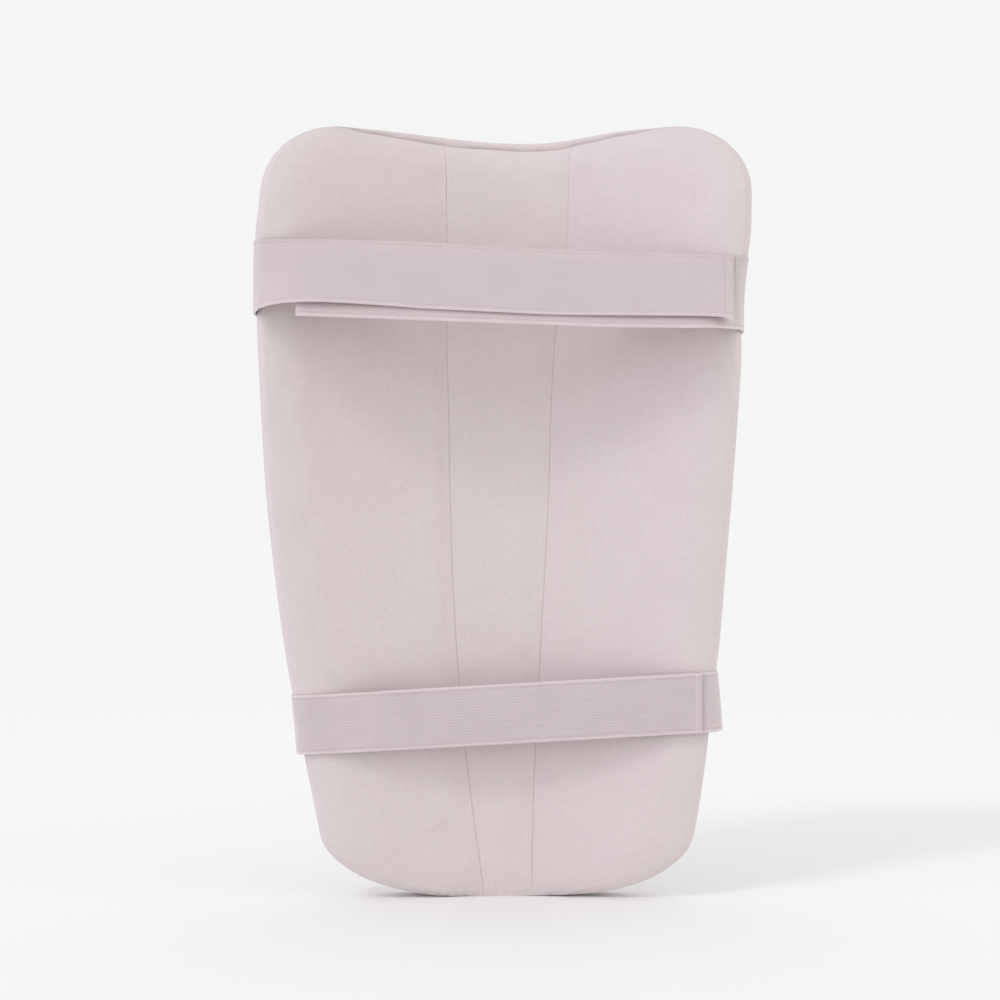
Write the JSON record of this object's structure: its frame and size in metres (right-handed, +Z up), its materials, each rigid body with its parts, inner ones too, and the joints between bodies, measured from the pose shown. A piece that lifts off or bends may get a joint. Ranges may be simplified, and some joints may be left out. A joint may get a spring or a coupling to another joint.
{
  "type": "cricket thigh guard",
  "caption": "Padded trough that covers the front of the thigh, with seamed leg-side panels and wide overlapping elastic straps across its open side.",
  "frame": {"origin": "middle of the guard's box in plan, on the surface that its lower edge stands on", "axes": "+Z up along the guard, -Y towards the leg, which goes in behind the straps, and +X to the right for someone looking at the leg side"},
  "size_m": [0.2454, 0.0862, 0.3872],
  "materials": {
    "padding_fabric": "matt knitted cloth over foam",
    "lining_fabric": "matt knitted cloth over foam",
    "strap_elastic": "matt ribbed elastic"
  },
  "bodies": {
    "root": {"outer_shell": "padding_fabric", "inner_panel_left": "lining_fabric", "inner_panel_centre": "lining_fabric", "inner_panel_right": "lining_fabric", "upper_strap_left": "strap_elastic", "upper_strap_right": "strap_elastic", "lower_strap_left": "strap_elastic", "lower_strap_right": "strap_elastic"}
  },
  "joints": []
}
